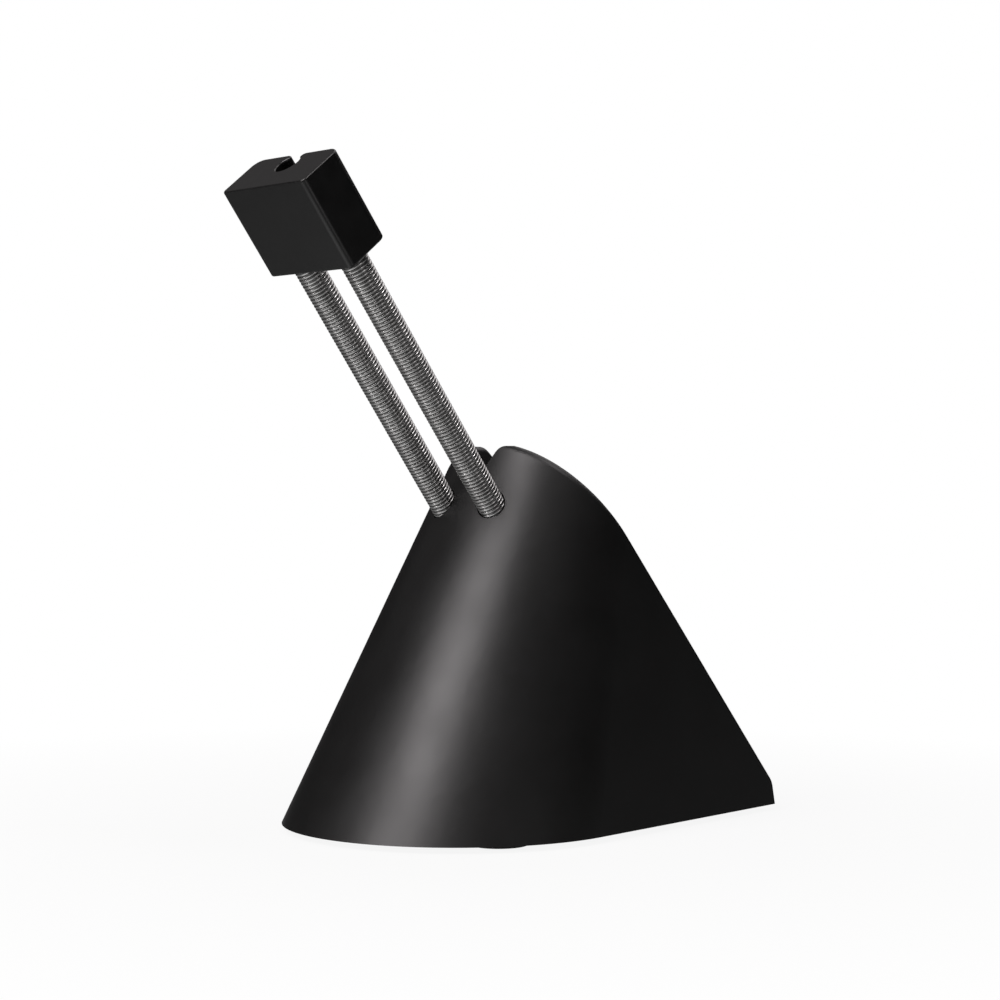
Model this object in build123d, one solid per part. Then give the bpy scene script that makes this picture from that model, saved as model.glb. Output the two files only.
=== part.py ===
from build123d import *
from math import cos, radians, sin, sqrt, tan
import os

os.makedirs("parts", exist_ok=True)

# All lengths are in millimetres. The nose faces -Y and the feet stand on Z = 0.

# Tent-shaped body: round nose, flat sides that close in towards the rear, slanted back
foot_stand = 1.3            # the body edge clears the table by this much
nose_radius = 38.4          # at the bottom edge
nose_center_y = -7.7
side_taper = 4.7            # degrees each flat side turns inwards towards the rear
cone_height = 97.8          # where the two sections that set the wall lean are taken
cone_top_radius = 18.9
cone_top_shift = 36.9       # the upper section stands this much further back
rear_y = 61.65              # upright face of the heel
heel_height = 6.5
back_slope = 52.35          # degrees between the back face and the table
edge_round = 1.8            # along the edge of the slanted back
wall = 2.4

# Cable groove over the ridge
groove_floor = 74.4         # above the body edge
groove_radius = 1.5
groove_flank = 20.0         # degrees from upright
ear_round_start = 80.2      # above the body edge
ear_round_radius = 2.0
cavity_top = 69.6

# Springs, close-wound from round wire
spring_radius = 3.1
wire = 0.8
spring_pitch = 0.812
spring_half_gap = 7.25      # from the middle plane to each spring axis
arm_y = -2.4                # the arm axis passes through this point of the middle plane
arm_z = 65.2                # above the body edge
arm_lean = 38.6             # degrees from upright, towards the nose
head_start = 69.4           # along the arm from that point to the head
spring_hole_clearance = 0.2
seat_clearance = 0.1        # spring in the anchor
socket_clearance = 0.25     # spring in the head
ribbed_from = -4.0          # where the modelled turns start, inside the body
rib_depth = 0.3
ring_sides = 12

# Head block with the cable channel
head_width = 25.4
head_depth = 12.4
head_length = 20.9
head_shift = 0.45           # its middle lies this much behind the spring axes
head_front_corner = 1.1
head_back_corner = 2.6
head_edge = 0.45            # rounding of the two ends
channel_radius = 2.8
channel_offset = 2.5        # behind the middle of the head
channel_neck = 3.3
channel_lip = 1.2
socket_depth = 12.0
socket_end_gap = 0.3

# Anchor block that holds the lower spring ends
anchor_top = -10.0          # along the arm
anchor_boss_end = 12.0      # shell bosses for its screws run up to here, trimmed to the body
spring_hole_end = 20.0
anchor_length = 18.0
anchor_side_wall = 1.7      # beside the springs
anchor_face_wall = 2.5      # in front of them and behind
anchor_ear_radius = 3.6
anchor_ear_sink = 0.3       # of each ear into the block
anchor_bore_depth = 14.0
anchor_bridge = 4.0         # web between the block and its ears
anchor_round = 1.2

# Floor plate
plate_thickness = 2.6
plate_gap = 0.25
pad_radius = 4.6
pad_height = 2.6
plate_recess = 0.2          # the plate sits this much above the body edge

# Rubber feet in shallow pockets
foot_radius = 6.3
foot_pocket = 0.8
foot_gap = 0.15
foot_edge = 0.4
foot_inset = 11.5           # foot centres from the body edge
front_foot_turn = 27.0      # degrees in front of the nose centre
rear_foot_reach = 14.15     # in front of the heel

# Screws
screw_radius = 1.45
screw_clearance = 0.15
screw_tip_room = 0.5
screw_head_room = 0.2
screw_head_gap = 0.3
screw_head_round = 0.6
screw_tip = 0.5             # bevel of the shank end
screw_head_radius = 2.7
screw_head_height = 1.9
pilot_clearance = 0.05
plate_screw_length = 10.0
boss_radius = 3.6
boss_height = 13.0
boss_cap = 2.0              # left solid above each screw hole
rib_thickness = 2.0
anchor_screw_reach = 6.0    # into the shell bosses
drive_width = 0.7
drive_length = 3.2
drive_depth = 1.0

# Steel weight on the floor plate
weight_side_inset = 3.0     # its sides lie inside the front foot centres
weight_gap = 2.9            # to the screw bosses in front and behind
weight_height = 10.0
weight_corner = 5.0
weight_edge = 0.6
weight_post_radius = 3.2
weight_post_gap = 0.2
weight_post_drop = 0.2      # post tops below the top of the weight
weight_post_spacing = 40.0
washer_radius = 5.2
washer_height = 1.0
weight_screw_length = 8.0

far_y = 90.0                # the flat sides are drawn to here before the back is cut
past = 1.0                  # cutters run this much past what they cut
sink = 0.5                  # joined pieces start this deep in one another
near = 0.01                 # an edge this close to a place counts as being there

on_floor = (Align.CENTER, Align.CENTER, Align.MIN)
lean = radians(arm_lean)
arm_dir = Vector(0, -sin(lean), cos(lean))
arm_back = Vector(0, cos(lean), sin(lean))
arm_root = Vector(0, arm_y, foot_stand + arm_z)


def arm_plane(s, x=0.0, d=0.0):
    """Plane across the arm at distance s along it, its local Y towards the back."""
    origin = arm_root + arm_dir * s + arm_back * d + Vector(x, 0, 0)
    return Plane(origin=origin, x_dir=(1, 0, 0), z_dir=arm_dir)


def section(z, inset):
    """Closed outline of the body at height z, moved inwards by inset."""
    t = z / cone_height
    slope = (nose_radius - cone_top_radius) / cone_height
    r = nose_radius - slope * z - inset * sqrt(1 + slope * slope)
    yc = nose_center_y + cone_top_shift * t
    turn = radians(side_taper)
    x_turn = r * cos(turn)
    y_turn = yc + r * sin(turn)
    x_far = r / cos(turn) - (far_y - yc) * tan(turn)
    arc = ThreePointArc((-x_turn, y_turn), (0, yc - r), (x_turn, y_turn))
    right = Line((x_turn, y_turn), (x_far, far_y))
    rear = Line((x_far, far_y), (-x_far, far_y))
    left = Line((-x_far, far_y), (-x_turn, y_turn))
    outline = Wire([arc, right, rear, left])
    return outline.moved(Location((0, 0, foot_stand + z)))


def tent(bottom, top, inset):
    return Solid.make_loft([section(bottom, inset), section(top, inset)], ruled=True)


def behind_back_face(inset):
    """Everything behind the slanted back face, for cutting."""
    rise = radians(90 - back_slope)
    out = Vector(0, cos(rise), sin(rise))
    origin = Vector(0, rear_y, foot_stand + heel_height) - out * inset
    face = Plane(origin=origin, x_dir=(1, 0, 0), z_dir=out)
    return face * Box(2 * far_y, 3 * far_y, far_y, align=on_floor)


def behind_heel(inset):
    block = Box(2 * far_y, far_y, far_y, align=(Align.CENTER, Align.MIN, Align.CENTER))
    return Pos(0, rear_y - inset, foot_stand) * block


def outer_form():
    form = tent(0, cone_height, 0) - behind_back_face(0)
    rim = [e for e in form.edges() if on_back_rim(e)]
    form = form.fillet(edge_round, rim)
    form = form - behind_heel(0)
    return form


def on_back_rim(edge):
    rise = radians(90 - back_slope)
    out = Vector(0, cos(rise), sin(rise))
    base = Vector(0, rear_y, foot_stand + heel_height)
    steps = [edge.position_at(t) for t in (0.0, 0.5, 1.0)]
    flat = all(abs((p - base).dot(out)) < near for p in steps)
    return flat and steps[1].Z > foot_stand + near


def cavity():
    room = tent(-past, cavity_top, wall) - behind_back_face(wall)
    return room - behind_heel(wall)


def groove_cutter():
    """Channel across the ridge, with flanks that round over at the ears."""
    low = foot_stand + groove_floor + groove_radius
    flank = radians(groove_flank)
    touch_x = groove_radius * cos(flank)
    touch_z = low - groove_radius * sin(flank)
    start_z = foot_stand + ear_round_start
    start_x = touch_x + (start_z - touch_z) * tan(flank)
    top_x = start_x + ear_round_radius * cos(flank)
    top_z = start_z + ear_round_radius * (1 - sin(flank))
    side_x = nose_radius
    high = foot_stand + cone_height
    with BuildPart() as cutter:
        with BuildSketch(Plane.XZ.offset(far_y)):
            with BuildLine():
                ThreePointArc((-touch_x, touch_z), (0, low - groove_radius), (touch_x, touch_z))
                Line((touch_x, touch_z), (start_x, start_z))
                TangentArc((start_x, start_z), (top_x, top_z), tangent=(tan(flank), 1))
                Line((top_x, top_z), (side_x, top_z))
                Line((side_x, top_z), (side_x, high))
                Line((side_x, high), (-side_x, high))
                Line((-side_x, high), (-side_x, top_z))
                Line((-side_x, top_z), (-top_x, top_z))
                TangentArc((-start_x, start_z), (-top_x, top_z), tangent=(-tan(flank), 1))
                Line((-start_x, start_z), (-touch_x, touch_z))
            make_face()
        extrude(amount=-2 * far_y)
    return cutter.part


def along_arm(radius, start, end, x=0.0, d=0.0):
    """Round bar on or beside the arm axis, from start to end along it."""
    bar = Cylinder(radius, end - start, align=on_floor)
    return arm_plane(start, x, d) * bar


def upright(radius, low, high, x, y):
    bar = Cylinder(radius, high - low, align=on_floor)
    return Pos(x, y, low) * bar


def mirrored(spots):
    return [(side * x, y) for x, y in spots for side in (-1, 1)]


def front_foot_spot():
    turn = radians(front_foot_turn)
    reach = nose_radius - foot_inset
    return (reach * cos(turn), nose_center_y - reach * sin(turn))


def rear_foot_spot():
    turn = radians(side_taper)
    y = rear_y - rear_foot_reach
    side_x = nose_radius / cos(turn) - (y - nose_center_y) * tan(turn)
    return (side_x - foot_inset, y)


# Places that follow from the sizes above
plate_low = foot_stand + plate_recess
plate_high = plate_low + plate_thickness
pad_high = plate_high + pad_height
boss_high = pad_high + boss_height
front_foot = front_foot_spot()
rear_foot = rear_foot_spot()
foot_spots = mirrored([front_foot, rear_foot])
screw_seat = plate_low + foot_pocket + screw_head_height + screw_head_room
pilot_radius = screw_radius + pilot_clearance
anchor_low = anchor_top - anchor_length
spring_bottom = anchor_top - anchor_bore_depth
spring_top = head_start + socket_depth - socket_end_gap
spring_axes = (-spring_half_gap, spring_half_gap)
anchor_half_width = spring_half_gap + spring_radius + anchor_side_wall
anchor_half_depth = spring_radius + anchor_face_wall
anchor_ear_x = anchor_half_width + anchor_ear_radius - anchor_ear_sink
ear_axes = (-anchor_ear_x, anchor_ear_x)
coil_bore = spring_radius - wire
weight_low = plate_high
weight_high = weight_low + weight_height
weight_front = front_foot[1] + boss_radius + weight_gap
weight_rear = rear_foot[1] - boss_radius - weight_gap
weight_width = 2 * (front_foot[0] - weight_side_inset)
weight_length = weight_rear - weight_front
weight_y = (weight_front + weight_rear) / 2
weight_posts = [(0, weight_y + side * weight_post_spacing / 2) for side in (-1, 1)]


def shell_supports():
    """Screw bosses with their ribs, before they are trimmed to the body."""
    pieces = []
    for x, y in foot_spots:
        rib = Box(nose_radius, rib_thickness, boss_height, align=(Align.MIN, Align.CENTER, Align.MIN))
        outwards = Rot(0, 0, 0 if x > 0 else 180)
        pieces.append(upright(boss_radius, pad_high, boss_high, x, y))
        pieces.append(Pos(x, y, pad_high) * outwards * rib)
    for x in ear_axes:
        pieces.append(along_arm(anchor_ear_radius, anchor_top, anchor_boss_end, x))
    return pieces


def body_shell():
    form = outer_form()
    shell = form - cavity()
    for piece in shell_supports():
        shell = shell + (piece & form)
    for x, y in foot_spots:
        shell = shell - upright(pilot_radius, 0, boss_high - boss_cap, x, y)
    for x in ear_axes:
        end = anchor_top + anchor_screw_reach + screw_tip_room
        shell = shell - along_arm(pilot_radius, anchor_low, end, x)
    for x in spring_axes:
        hole = spring_radius + spring_hole_clearance
        shell = shell - along_arm(hole, anchor_top - past, spring_hole_end, x)
    return shell - groove_cutter()


def base_plate():
    top = plate_recess + plate_thickness
    plate = tent(plate_recess, top, wall + plate_gap)
    plate = plate - behind_heel(wall + plate_gap)
    for x, y in foot_spots:
        plate = plate + upright(pad_radius, plate_high - sink, pad_high, x, y)
    for x, y in weight_posts:
        plate = plate + upright(weight_post_radius, plate_high - sink, weight_high - weight_post_drop, x, y)
    for x, y in foot_spots:
        plate = plate - upright(foot_radius + foot_gap, 0, plate_low + foot_pocket, x, y)
        plate = plate - upright(screw_head_radius + screw_head_gap, 0, screw_seat, x, y)
        plate = plate - upright(screw_radius + screw_clearance, 0, pad_high + past, x, y)
    for x, y in weight_posts:
        low = weight_high - weight_screw_length - screw_tip_room
        plate = plate - upright(pilot_radius, low, weight_high + past, x, y)
    return plate


def foot(x, y):
    pad = upright(foot_radius, 0, plate_low + foot_pocket, 0, 0)
    pad = fillet(pad.edges().sort_by(Axis.Z)[0], foot_edge)
    return Pos(x, y, 0) * pad


def ballast_weight():
    block = Box(weight_width, weight_length, weight_height, align=on_floor)
    block = Pos(0, weight_y, weight_low) * block
    block = fillet(block.edges().filter_by(Axis.Z), weight_corner)
    block = chamfer(block.edges().group_by(Axis.Z)[-1], weight_edge)
    for x, y in weight_posts:
        block = block - upright(weight_post_radius + weight_post_gap, 0, weight_high + past, x, y)
    return block


def pan_screw(length, head_radius, head_height, washer):
    """Screw with its head above Z = 0 and its shank below."""
    shank = upright(screw_radius, -length, sink, 0, 0)
    shank = chamfer(shank.edges().sort_by(Axis.Z)[0], screw_tip)
    head = upright(head_radius, 0, head_height, 0, 0)
    head = fillet(head.edges().sort_by(Axis.Z)[-1], screw_head_round)
    body = shank + head
    if washer:
        body = body + upright(washer_radius, 0, washer_height, 0, 0)
    for turn in (0, 90):
        slot = Box(drive_length, drive_width, head_height, align=on_floor)
        body = body - Pos(0, 0, head_height - drive_depth) * Rot(0, 0, turn) * slot
    return body


def plate_screws():
    screw = pan_screw(plate_screw_length, screw_head_radius, screw_head_height, False)
    flipped = Rot(180, 0, 0) * screw
    return [Pos(x, y, screw_seat) * flipped for x, y in foot_spots]


def weight_screws():
    screw = pan_screw(weight_screw_length, screw_head_radius, screw_head_height, True)
    return [Pos(x, y, weight_high) * screw for x, y in weight_posts]


def anchor_screws():
    length = anchor_length + anchor_screw_reach
    screw = pan_screw(length, screw_head_radius, screw_head_height, False)
    flipped = Rot(180, 0, 0) * screw
    return [arm_plane(anchor_low, x) * flipped for x in ear_axes]


def spring_anchor():
    block = Box(2 * anchor_half_width, 2 * anchor_half_depth, anchor_length, align=on_floor)
    block = fillet(block.edges().filter_by(Axis.Z), anchor_round)
    anchor = arm_plane(anchor_low) * block
    bridge = Box(2 * anchor_ear_x, anchor_bridge, anchor_length, align=on_floor)
    anchor = anchor + arm_plane(anchor_low) * bridge
    for x in ear_axes:
        anchor = anchor + along_arm(anchor_ear_radius, anchor_low, anchor_top, x)
    for x in ear_axes:
        hole = screw_radius + screw_clearance
        anchor = anchor - along_arm(hole, anchor_low - past, anchor_top + past, x)
    for x in spring_axes:
        anchor = anchor - along_arm(spring_radius + seat_clearance, spring_bottom, anchor_top + past, x)
    for x in spring_axes:
        anchor = anchor + along_arm(coil_bore - seat_clearance, spring_bottom - sink, anchor_top, x)
    return anchor


def spring(x):
    """Close-wound coil as a tube with one ring-shaped rib for each turn."""
    turns = int((head_start - ribbed_from) / spring_pitch) + 1
    rings = []
    for i in range(turns):
        start = i * spring_pitch
        rings.append((spring_radius - rib_depth, start))
        rings.append((spring_radius, start + spring_pitch / 2))
    rings.append((spring_radius - rib_depth, turns * spring_pitch))
    wires = [ring(radius, at) for radius, at in rings]
    ribbed = Solid.make_loft(wires, ruled=True)
    coil = arm_plane(ribbed_from, x) * ribbed
    coil = coil + along_arm(spring_radius, spring_bottom, ribbed_from, x)
    coil = coil + along_arm(spring_radius, ribbed_from + turns * spring_pitch, spring_top, x)
    return coil - along_arm(coil_bore, spring_bottom - past, spring_top + past, x)


def ring(radius, at):
    """Regular outline around Z at height at."""
    points = []
    for i in range(ring_sides):
        turn = radians(360 / ring_sides * i)
        points.append((radius * cos(turn), radius * sin(turn), at))
    return Wire.make_polygon(points, close=True)


def head():
    block = Box(head_width, head_depth, head_length, align=on_floor) - channel_cutter()
    corners = [e for e in block.edges().filter_by(Axis.Z) if abs(e.center().X) > channel_neck]
    block = fillet([e for e in corners if e.center().Y < 0], head_front_corner)
    corners = [e for e in block.edges().filter_by(Axis.Z) if on_back_corner(e)]
    block = fillet(corners, head_back_corner)
    block = fillet([e for e in block.edges().filter_by(Axis.Z) if on_lip(e)], channel_lip)
    ends = block.edges().group_by(Axis.Z)
    block = fillet(list(ends[0]) + list(ends[-1]), head_edge)
    for x in spring_axes:
        socket = spring_radius + socket_clearance
        block = block - upright(socket, -past, socket_depth, x, -head_shift)
    for x in spring_axes:
        block = block + upright(coil_bore - socket_clearance, 0, socket_depth + sink, x, -head_shift)
    return arm_plane(head_start, 0, head_shift) * block


def channel_cutter():
    """Round cable channel, open to the back of the head over its full length."""
    tall = head_length + 2 * past
    bore = Cylinder(channel_radius, tall, align=on_floor)
    neck = Box(channel_neck, head_depth, tall, align=(Align.CENTER, Align.MIN, Align.MIN))
    return Pos(0, channel_offset, -past) * (bore + neck)


def on_back_corner(edge):
    spot = edge.center() - Vector(0, head_depth / 2, 0)
    return abs(abs(spot.X) - head_width / 2) < near and abs(spot.Y) < near


def on_lip(edge):
    spot = edge.center() - Vector(0, head_depth / 2, 0)
    return abs(abs(spot.X) - channel_neck / 2) < near and abs(spot.Y) < near


def save(name, shape):
    export_step(shape, f"parts/{name}.step")


save("body_shell", body_shell())
save("base_plate", base_plate())
save("foot_front_left", foot(-front_foot[0], front_foot[1]))
save("foot_front_right", foot(*front_foot))
save("foot_rear_left", foot(-rear_foot[0], rear_foot[1]))
save("foot_rear_right", foot(*rear_foot))
save("ballast_weight", ballast_weight())
save("spring_anchor", spring_anchor())
save("spring_left", spring(-spring_half_gap))
save("spring_right", spring(spring_half_gap))
save("head", head())
save("plate_screws", Compound(children=plate_screws()))
save("weight_screws", Compound(children=weight_screws()))
save("anchor_screws", Compound(children=anchor_screws()))
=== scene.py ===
import bpy
from math import cos, radians, sin, tau
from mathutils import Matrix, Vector


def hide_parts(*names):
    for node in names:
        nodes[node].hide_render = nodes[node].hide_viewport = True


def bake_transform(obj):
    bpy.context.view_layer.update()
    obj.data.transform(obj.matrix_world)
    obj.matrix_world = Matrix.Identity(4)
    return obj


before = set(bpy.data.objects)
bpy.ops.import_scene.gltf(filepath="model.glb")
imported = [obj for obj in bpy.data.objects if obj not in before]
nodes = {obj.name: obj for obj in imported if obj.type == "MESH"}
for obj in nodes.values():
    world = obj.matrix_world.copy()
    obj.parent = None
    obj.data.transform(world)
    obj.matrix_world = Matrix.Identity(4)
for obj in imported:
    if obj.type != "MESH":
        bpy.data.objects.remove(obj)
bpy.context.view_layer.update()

scene = bpy.context.scene
scene.view_settings.view_transform = "Standard"
print("mouse bungee: frame loaded,", len(nodes), "nodes")

# The arm's line in the middle plane: both springs and the head are set out along it
arm = {
    "root": Vector((0, -0.0024, 0.0665)),
    "lean": radians(38.6),         # from upright, towards the nose
    "springGap": 0.00725,          # middle plane to each spring axis
}
armDir = Vector((0, -sin(arm["lean"]), cos(arm["lean"])))


def alongArm(distance, side=0.0):
    return arm["root"] + armDir * distance + Vector((side, 0, 0))


def srgb(hexCode):
    parts = [int(hexCode[i:i + 2], 16) / 255 for i in (1, 3, 5)]
    return [p / 12.92 if p <= 0.04045 else ((p + 0.055) / 1.055) ** 2.4 for p in parts] + [1.0]


def addNode(tree, kind, values=None, **settings):
    node = tree.nodes.new(kind)
    for name, value in settings.items():
        setattr(node, name, value)
    for socket, value in (values or {}).items():
        if isinstance(value, bpy.types.NodeSocket):
            tree.links.new(value, node.inputs[socket])
        else:
            node.inputs[socket].default_value = value
    return node


def newMaterial(name):
    material = bpy.data.materials.new(name)
    material.use_nodes = True
    tree = material.node_tree
    where = addNode(tree, "ShaderNodeTexCoord").outputs["Object"]
    return material, tree, tree.nodes["Principled BSDF"], where


def joinSurface(tree, shader, colour, roughness, normal):
    tree.links.new(colour, shader.inputs["Base Color"])
    tree.links.new(roughness, shader.inputs["Roughness"])
    tree.links.new(normal, shader.inputs["Normal"])


def dress(material, *names):
    for name in names:
        mesh = nodes[name].data
        mesh.materials.clear()
        mesh.materials.append(material)


noiseSpan = {"From Min": 0.3, "From Max": 0.7}     # nearly all of a noise pattern lies in here

# Satin ABS, moulded in a spark-eroded tool: near black, a soft wide sheen and a grain felt more than seen
bodyPlastic = {
    "colour": "#0b0b0b", "paler": "#0f0f0f",
    "roughness": (0.40, 0.45),
    "grainMm": 0.22, "grainBump": 0.12, "grainDepth": 0.00003,
    "cloudMm": 14.0,
    "ior": 1.53,
}
# The head has the same grain and a little more gloss, so its edges glint
headPlastic = {
    "colour": "#0c0c0c", "paler": "#101010",
    "roughness": (0.30, 0.38),
    "grainMm": 0.22, "grainBump": 0.12, "grainDepth": 0.00003,
    "cloudMm": 6.0,
    "ior": 1.53,
}
# Plain ABS for the inside and the underside: duller, with hardly any grain
plainPlastic = {
    "colour": "#151516", "paler": "#1b1b1c",
    "roughness": (0.45, 0.55),
    "grainMm": 0.5, "grainBump": 0.05, "grainDepth": 0.00003,
    "cloudMm": 18.0,
    "ior": 1.53,
}


def mouldedAbs(name, look):
    material, tree, shader, where = newMaterial(name)
    low, high = look["roughness"]
    grain = addNode(tree, "ShaderNodeTexNoise", {
        "Vector": where, "Scale": 1000 / look["grainMm"], "Detail": 2.0}).outputs[0]
    cloud = addNode(tree, "ShaderNodeTexNoise", {
        "Vector": where, "Scale": 1000 / look["cloudMm"], "Detail": 3.0}).outputs[0]
    tint = addNode(tree, "ShaderNodeMix", {
        0: cloud, 6: srgb(look["colour"]), 7: srgb(look["paler"])}, data_type="RGBA")
    gloss = addNode(tree, "ShaderNodeMapRange", {
        "Value": cloud, **noiseSpan, "To Min": low, "To Max": high})
    bump = addNode(tree, "ShaderNodeBump", {
        "Height": grain, "Strength": look["grainBump"], "Distance": look["grainDepth"]})
    joinSurface(tree, shader, tint.outputs[2], gloss.outputs["Result"], bump.outputs["Normal"])
    shader.inputs["IOR"].default_value = look["ior"]
    return material


# Hard-drawn spring steel, lightly oiled: bright where a turn faces a lamp, a little duller in patches
springWire = {
    "colour": "#d0d0cf", "oxide": "#b2b1b0",
    "roughness": (0.26, 0.34),
    "patchMm": 2.5,
    "lineMm": 0.06, "lineBump": 0.1, "lineDepth": 0.00001,
}
# Cast iron with a blackened skin, dull and rough
castIron = {
    "colour": "#3b3a39", "oxide": "#2a2624",
    "roughness": (0.55, 0.75),
    "patchMm": 3.0,
    "lineMm": 0.8, "lineBump": 0.1, "lineDepth": 0.00001,
}
# Zinc-plated steel: pale grey with a soft shine
zincPlate = {
    "colour": "#b9babb", "oxide": "#9a9b9e",
    "roughness": (0.28, 0.4),
    "patchMm": 1.2,
    "lineMm": 0.15, "lineBump": 0.1, "lineDepth": 0.00001,
}


def metalSkin(name, look):
    material, tree, shader, where = newMaterial(name)
    low, high = look["roughness"]
    patch = addNode(tree, "ShaderNodeTexNoise", {
        "Vector": where, "Scale": 1000 / look["patchMm"], "Detail": 4.0}).outputs[0]
    lines = addNode(tree, "ShaderNodeTexNoise", {
        "Vector": where, "Scale": 1000 / look["lineMm"], "Detail": 1.0}).outputs[0]
    share = addNode(tree, "ShaderNodeMapRange", {"Value": patch, **noiseSpan})
    tint = addNode(tree, "ShaderNodeMix", {
        0: share.outputs["Result"], 6: srgb(look["colour"]), 7: srgb(look["oxide"])}, data_type="RGBA")
    gloss = addNode(tree, "ShaderNodeMapRange", {
        "Value": patch, **noiseSpan, "To Min": low, "To Max": high})
    bump = addNode(tree, "ShaderNodeBump", {
        "Height": lines, "Strength": look["lineBump"], "Distance": look["lineDepth"]})
    joinSurface(tree, shader, tint.outputs[2], gloss.outputs["Result"], bump.outputs["Normal"])
    shader.inputs["Metallic"].default_value = 1.0
    return material


# Vulcanised rubber pads: matt, dusty black
footRubber = {
    "colour": "#101010", "dust": "#1e1e1d",
    "roughness": (0.75, 0.9),
    "speckMm": 0.4, "speckBump": 0.2, "speckDepth": 0.00005,
}


def dustyRubber(name, look):
    material, tree, shader, where = newMaterial(name)
    low, high = look["roughness"]
    speck = addNode(tree, "ShaderNodeTexNoise", {
        "Vector": where, "Scale": 1000 / look["speckMm"], "Detail": 4.0}).outputs[0]
    tint = addNode(tree, "ShaderNodeMix", {
        0: speck, 6: srgb(look["colour"]), 7: srgb(look["dust"])}, data_type="RGBA")
    gloss = addNode(tree, "ShaderNodeMapRange", {
        "Value": speck, **noiseSpan, "To Min": low, "To Max": high})
    bump = addNode(tree, "ShaderNodeBump", {
        "Height": speck, "Strength": look["speckBump"], "Distance": look["speckDepth"]})
    joinSurface(tree, shader, tint.outputs[2], gloss.outputs["Result"], bump.outputs["Normal"])
    return material


bodyAbs = mouldedAbs("satinBlackAbs", bodyPlastic)
headAbs = mouldedAbs("satinBlackAbsHead", headPlastic)
plainAbs = mouldedAbs("plainBlackAbs", plainPlastic)
springSteel = metalSkin("hardDrawnSpringSteel", springWire)
rubber = dustyRubber("vulcanisedRubber", footRubber)
iron = metalSkin("blackenedCastIron", castIron)
zinc = metalSkin("zincPlatedSteel", zincPlate)

dress(bodyAbs, "body_shell")
dress(headAbs, "head")
dress(plainAbs, "base_plate", "spring_anchor")
dress(rubber, "foot_front_left", "foot_front_right", "foot_rear_left", "foot_rear_right")
dress(iron, "ballast_weight")
dress(zinc, "plate_screws", "weight_screws", "anchor_screws")
print("mouse bungee: solid parts dressed")

# Close-wound springs, each in two straight lengths: the lower spans the sway joint, the upper the bend
# joint
coil = {
    "wire": 0.0008, "outside": 0.0062, "pitch": 0.000812,
    "pointsPerTurn": 30, "wireSides": 10,
    "foot": -0.024, "middle": 0.032, "top": 0.0811,            # along the arm
    "swayBend": (0.004, 0.031), "tiltBend": (0.033, 0.068),    # the stretch of each length that lies over its joint
}


def coilTree():
    tree = bpy.data.node_groups.new("closeWoundSpring", "GeometryNodeTree")
    face = tree.interface
    face.new_socket("Geometry", in_out="OUTPUT", socket_type="NodeSocketGeometry")
    inputKinds = {
        "Turns": "Float", "Pitch": "Float", "Coil Radius": "Float", "Wire Radius": "Float",
        "Points Per Turn": "Int", "Wire Sides": "Int", "First Angle": "Float",
        "Start": "Vector", "Lean": "Float", "Material": "Material",
    }
    sockets = {}
    for name, kind in inputKinds.items():
        socket = face.new_socket(name, in_out="INPUT", socket_type="NodeSocket" + kind)
        sockets[name] = socket.identifier
    given = addNode(tree, "NodeGroupInput").outputs
    height = addNode(tree, "ShaderNodeMath", {0: given["Turns"], 1: given["Pitch"]}, operation="MULTIPLY")
    spiral = addNode(tree, "GeometryNodeCurveSpiral", {
        "Resolution": given["Points Per Turn"], "Rotations": given["Turns"],
        "Start Radius": given["Coil Radius"], "End Radius": given["Coil Radius"],
        "Height": height.outputs[0], "Reverse": True})         # wound right-handed
    wire = addNode(tree, "GeometryNodeCurvePrimitiveCircle", {
        "Resolution": given["Wire Sides"], "Radius": given["Wire Radius"]})
    tube = addNode(tree, "GeometryNodeCurveToMesh", {
        "Curve": spiral.outputs[0], "Profile Curve": wire.outputs[0], "Fill Caps": True})
    turned = addNode(tree, "ShaderNodeCombineXYZ", {"Z": given["First Angle"]})
    leaned = addNode(tree, "ShaderNodeCombineXYZ", {"X": given["Lean"]})
    spun = addNode(tree, "GeometryNodeTransform", {
        "Geometry": tube.outputs[0], "Rotation": turned.outputs[0]})
    placed = addNode(tree, "GeometryNodeTransform", {
        "Geometry": spun.outputs[0], "Rotation": leaned.outputs[0], "Translation": given["Start"]})
    smooth = addNode(tree, "GeometryNodeSetShadeSmooth", {"Geometry": placed.outputs[0]})
    real = addNode(tree, "GeometryNodeRealizeInstances", {"Geometry": smooth.outputs[0]})
    painted = addNode(tree, "GeometryNodeSetMaterial", {
        "Geometry": real.outputs[0], "Material": given["Material"]})
    addNode(tree, "NodeGroupOutput", {"Geometry": painted.outputs[0]})
    return tree, sockets


coilNodes, coilSockets = coilTree()


def windSpring(name, side, fromDistance, toDistance):
    holder = bpy.data.objects.new(name, bpy.data.meshes.new(name + "Seed"))
    scene.collection.objects.link(holder)
    modifier = holder.modifiers.new("coil", "NODES")
    modifier.node_group = coilNodes
    turns = (toDistance - fromDistance) / coil["pitch"]
    turnsBelow = (fromDistance - coil["foot"]) / coil["pitch"]
    values = {
        "Turns": turns, "Pitch": coil["pitch"],
        "Coil Radius": (coil["outside"] - coil["wire"]) / 2, "Wire Radius": coil["wire"] / 2,
        "Points Per Turn": coil["pointsPerTurn"], "Wire Sides": coil["wireSides"],
        "First Angle": turnsBelow * tau % tau,                 # the wire goes on from the length below
        "Start": alongArm(fromDistance, side), "Lean": arm["lean"], "Material": springSteel,
    }
    for key, value in values.items():
        modifier[coilSockets[key]] = value
    bpy.context.view_layer.update()
    evaluated = holder.evaluated_get(bpy.context.evaluated_depsgraph_get())
    mesh = bpy.data.meshes.new_from_object(evaluated)
    mesh.name = name
    bpy.data.objects.remove(holder)
    piece = bpy.data.objects.new(name, mesh)
    scene.collection.objects.link(piece)
    return piece


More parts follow.
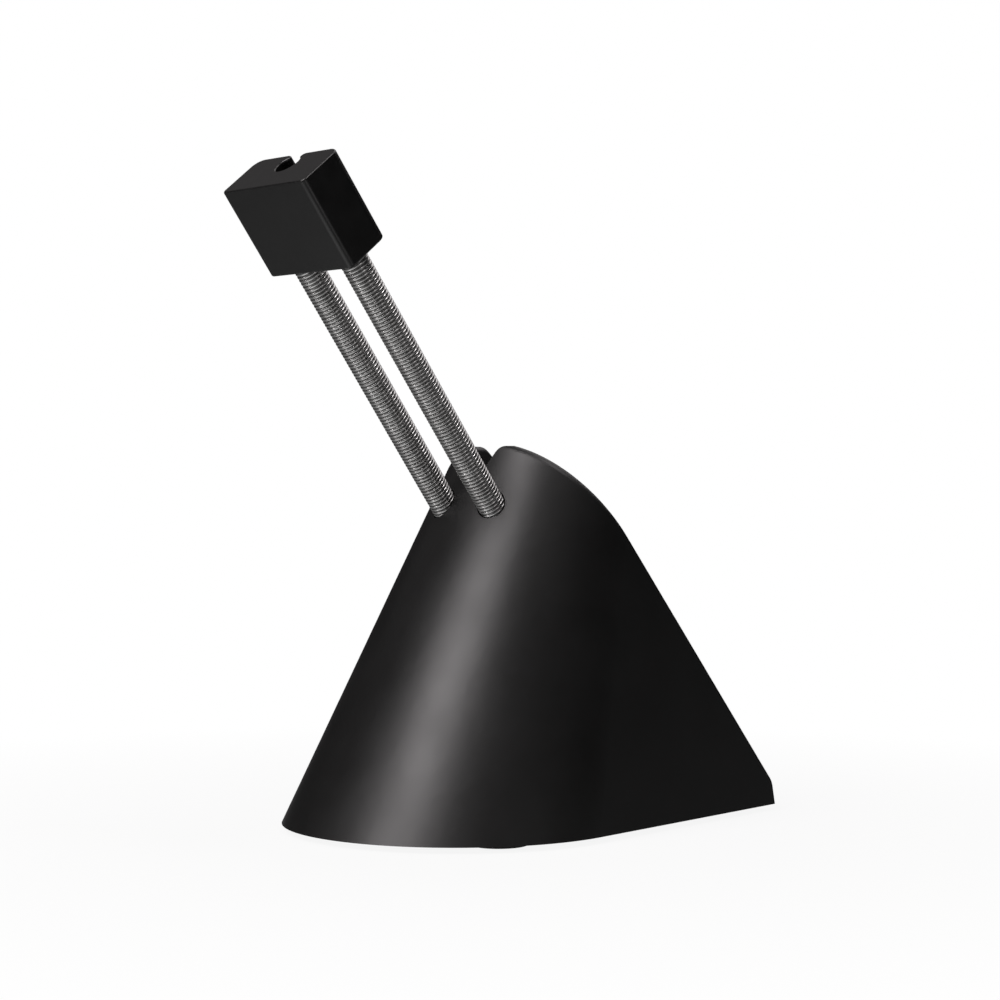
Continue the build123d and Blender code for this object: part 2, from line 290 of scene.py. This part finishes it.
for label, side in (("Left", -arm["springGap"]), ("Right", arm["springGap"])):
    node = "spring_" + label.lower()
    lower = windSpring("coilLower" + label, side, coil["foot"], coil["middle"])
    upper = windSpring("coilUpper" + label, side, coil["middle"], coil["top"])
    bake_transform(lower)
    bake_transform(upper)
    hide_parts(node)
    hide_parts(node)
    print("mouse bungee: spring wound,", node, len(lower.data.polygons) + len(upper.data.polygons), "faces")

# Studio floor of pale matt vinyl: its glow grows to pure white away from the part, so the shadow stays near
floorLook = {
    "colour": "#d6d6d6", "roughness": (0.78, 0.86), "specular": 0.1, "skinScale": 300.0,
    "reach": 6.0,
    "glowNear": 0.9, "glowFar": 1.0, "nearRadius": 0.06, "farRadius": 0.22,
    "glowInReflections": 0.22,     # plain grey there, so the gloss of the plastic stays calm
    "paintedPoolSpot": (0.0, -0.10, 0.0), "paintedPoolRadius": 0.02, "paintedPoolFade": 0.12,
    "paintedPoolInReflections": 1.15,      # a painted pool of light before the nose, a glow seen only in reflections, for the head's long edge to mirror
}


def paleVinyl():
    material, tree, shader, where = newMaterial("paleMattVinyl")
    low, high = floorLook["roughness"]
    skin = addNode(tree, "ShaderNodeTexNoise", {
        "Vector": where, "Scale": floorLook["skinScale"], "Detail": 3.0}).outputs[0]
    gloss = addNode(tree, "ShaderNodeMapRange", {
        "Value": skin, **noiseSpan, "To Min": low, "To Max": high})
    tree.links.new(gloss.outputs["Result"], shader.inputs["Roughness"])
    shader.inputs["Base Color"].default_value = srgb(floorLook["colour"])
    shader.inputs["Specular IOR Level"].default_value = floorLook["specular"]
    path = addNode(tree, "ShaderNodeLightPath").outputs
    away = addNode(tree, "ShaderNodeVectorMath", {0: where}, operation="LENGTH").outputs["Value"]
    share = addNode(tree, "ShaderNodeMapRange", {
        "Value": away, "From Min": floorLook["nearRadius"], "From Max": floorLook["farRadius"],
        "To Min": floorLook["glowNear"], "To Max": floorLook["glowFar"]})
    straight = addNode(tree, "ShaderNodeMath", {
        0: path["Is Camera Ray"], 1: path["Is Transmission Ray"]}, operation="MAXIMUM")
    seen = addNode(tree, "ShaderNodeMath", {
        0: straight.outputs[0], 1: share.outputs["Result"]}, operation="MULTIPLY")
    amount = addNode(tree, "ShaderNodeMath", {
        0: seen.outputs[0], 1: path["Is Glossy Ray"]}, operation="MAXIMUM")
    # Painted pool of light on the floor before the nose: its glow in reflections is brightest at the spot
    # and fades to plain grey
    fromPaintedPool = addNode(tree, "ShaderNodeVectorMath", {
        0: where, 1: floorLook["paintedPoolSpot"]}, operation="DISTANCE").outputs["Value"]
    paintedPool = addNode(tree, "ShaderNodeMapRange", {
        "Value": fromPaintedPool, "From Min": floorLook["paintedPoolRadius"], "From Max": floorLook["paintedPoolFade"],
        "To Min": floorLook["paintedPoolInReflections"], "To Max": floorLook["glowInReflections"]})
    strength = addNode(tree, "ShaderNodeMapRange", {
        "Value": path["Is Glossy Ray"], "To Min": 1.0, "To Max": paintedPool.outputs["Result"]})
    glow = addNode(tree, "ShaderNodeEmission", {
        "Color": (1, 1, 1, 1), "Strength": strength.outputs["Result"]})
    both = addNode(tree, "ShaderNodeMixShader", {
        0: amount.outputs[0], 1: shader.outputs[0], 2: glow.outputs[0]})
    tree.links.new(both.outputs[0], tree.nodes["Material Output"].inputs["Surface"])
    return material


def layFloor():
    reach = floorLook["reach"]
    corners = [(-reach, -reach, 0), (reach, -reach, 0), (reach, reach, 0), (-reach, reach, 0)]
    mesh = bpy.data.meshes.new("studioFloor")
    mesh.from_pydata(corners, [], [(0, 1, 2, 3)])
    mesh.materials.append(paleVinyl())
    floor = bpy.data.objects.new("studioFloor", mesh)
    scene.collection.objects.link(floor)


layFloor()

# The room is white to the eye and dim for everything else, as a dark studio behind a lit backdrop
room = {"seen": 1.0, "mirrored": 0.015, "fill": 0.03}


def darkStudio():
    world = bpy.data.worlds.new("darkStudio")
    world.use_nodes = True
    tree = world.node_tree
    path = addNode(tree, "ShaderNodeLightPath").outputs
    straight = addNode(tree, "ShaderNodeMath", {
        0: path["Is Camera Ray"], 1: path["Is Transmission Ray"]}, operation="MAXIMUM")
    dim = addNode(tree, "ShaderNodeMapRange", {
        "Value": path["Is Glossy Ray"], "To Min": room["fill"], "To Max": room["mirrored"]})
    strength = addNode(tree, "ShaderNodeMapRange", {
        "Value": straight.outputs[0], "To Min": dim.outputs["Result"], "To Max": room["seen"]})
    backdrop = tree.nodes["Background"]
    backdrop.inputs["Color"].default_value = (1, 1, 1, 1)
    tree.links.new(strength.outputs["Result"], backdrop.inputs["Strength"])
    return world


scene.world = darkStudio()

# Lamps: degrees from the nose round to the right, degrees up, distance and size in metres, power in watts
lamps = {
    "keySoftbox": {"azimuth": -5, "elevation": 48, "distance": 0.8, "size": (0.36, 0.52), "power": 5.2},
    "topFill": {"azimuth": -104, "elevation": 44, "distance": 1.2, "size": (1.1, 1.1), "power": 0.5},
    "rightStrip": {"azimuth": 95, "elevation": 72, "distance": 0.9, "size": (0.12, 0.35), "power": 1.5},
    "leftStrip": {"azimuth": -24, "elevation": 9, "distance": 0.6, "size": (0.05, 0.14), "power": 0.2},
    "rightCard": {"azimuth": 78, "elevation": -2, "distance": 0.42, "size": (0.14, 0.08), "power": 0.1},
    "rearFill": {"azimuth": 192, "elevation": 52, "distance": 1.1, "size": (0.8, 0.8), "power": 2.4},
}
lampAim = Vector((0, -0.005, 0.06))
lampTint = "#fffafb"               # a trace warm


def hangLamp(name, lamp):
    data = bpy.data.lights.new(name, "AREA")
    data.shape = "RECTANGLE"
    data.size, data.size_y = lamp["size"]
    data.energy = lamp["power"]
    data.color = srgb(lampTint)[:3]
    turn, lift = radians(lamp["azimuth"]), radians(lamp["elevation"])
    away = Vector((sin(turn) * cos(lift), -cos(turn) * cos(lift), sin(lift)))
    light = bpy.data.objects.new(name, data)
    light.location = lampAim + away * lamp["distance"]
    light.rotation_euler = away.to_track_quat("Z", "Y").to_euler()
    scene.collection.objects.link(light)


for name, lamp in lamps.items():
    hangLamp(name, lamp)

# Camera where the photograph's perspective puts it: level, half a metre away
photoView = {
    "place": (0.34624, -0.34953, 0.07097), "azimuth": 44.32,
    "lens": 80.56, "sensor": 36.0,
    "clipStart": 0.05,
}


def placeCamera():
    view = bpy.data.cameras.new("photoView")
    view.lens = photoView["lens"]
    view.sensor_width = photoView["sensor"]
    view.clip_start = photoView["clipStart"]
    viewer = bpy.data.objects.new("photoView", view)
    viewer.location = photoView["place"]
    viewer.rotation_euler = (radians(90), 0, radians(photoView["azimuth"]))
    scene.collection.objects.link(viewer)
    scene.camera = viewer


placeCamera()
print("mouse bungee: studio set")

bpy.context.view_layer.update()
